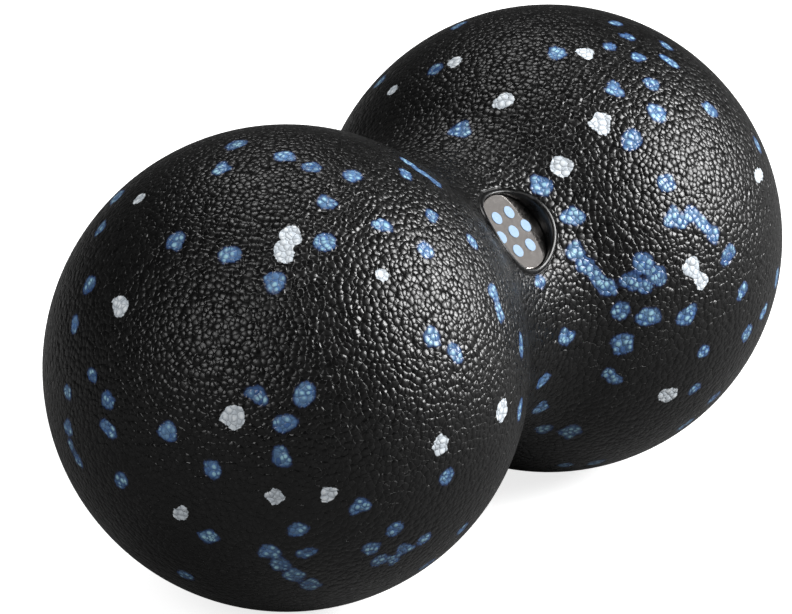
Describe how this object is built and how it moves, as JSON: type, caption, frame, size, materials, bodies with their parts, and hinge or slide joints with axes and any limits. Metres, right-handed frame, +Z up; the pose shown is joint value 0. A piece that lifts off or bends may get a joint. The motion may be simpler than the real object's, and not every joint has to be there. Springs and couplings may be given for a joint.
{
  "type": "peanut massage ball",
  "caption": "Two bead-foam balls joined by a narrower waist in one moulding, black with scattered blue and white beads, with a round glossy badge sunk in the waist.",
  "frame": {"origin": "middle of the waist, on the long axis, which is the centre of the whole outline", "axes": "+X along the long axis, from the ball near the camera to the far one; +Z up as the object lies; the badge faces -Y and 40.5 degrees up"},
  "size_m": [0.24, 0.12, 0.12],
  "materials": {
    "black_foam": "pebbled bead foam",
    "blue_foam": "pebbled bead foam",
    "white_foam": "pebbled bead foam",
    "badge_gloss": "gloss",
    "badge_print": "gloss print"
  },
  "bodies": {
    "root": {"foam_body": "black_foam", "blue_beads": "blue_foam", "white_beads": "white_foam", "badge": "badge_gloss", "badge_dots": "badge_print"}
  },
  "joints": []
}
